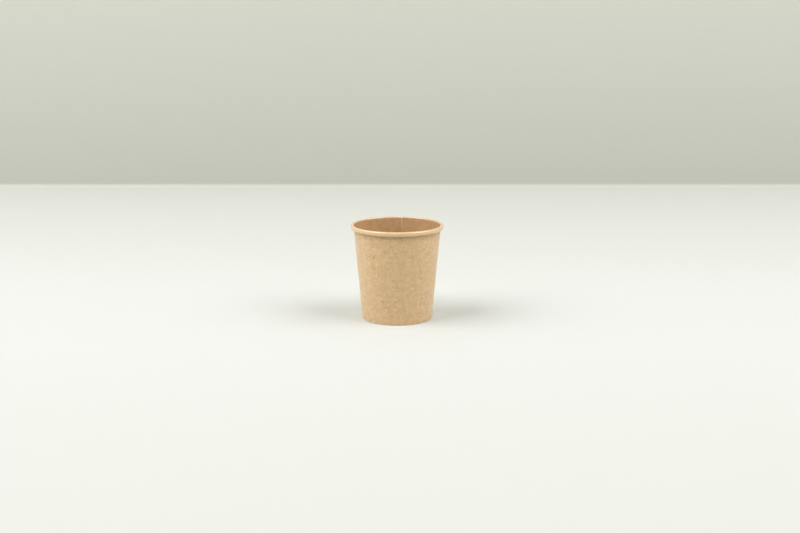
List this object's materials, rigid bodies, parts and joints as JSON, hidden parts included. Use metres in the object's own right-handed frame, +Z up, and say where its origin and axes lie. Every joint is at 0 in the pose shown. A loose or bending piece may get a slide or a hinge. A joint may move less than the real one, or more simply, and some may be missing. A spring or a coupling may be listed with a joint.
{
  "type": "paper cup",
  "caption": "Small kraft paper cup for hot drinks: a lap-seamed cone with a rolled rim, a folded hem and a recessed glued-in base, open at the top.",
  "frame": {"origin": "centre of the foot, on the table", "axes": "+Z up along the cup's axis, -Y towards the front that the picture shows, +X to the right"},
  "size_m": [0.062, 0.062, 0.064],
  "materials": {
    "kraft_sidewall": "unbleached brown kraft cup board, matte and fibrous outside, thin clear satin coating inside and on the rolled rim",
    "kraft_base": "unbleached brown kraft cup board, thin clear satin coating on the upper face, matte underneath"
  },
  "bodies": {
    "root": {"sidewall": "kraft_sidewall", "base": "kraft_base"}
  },
  "joints": []
}
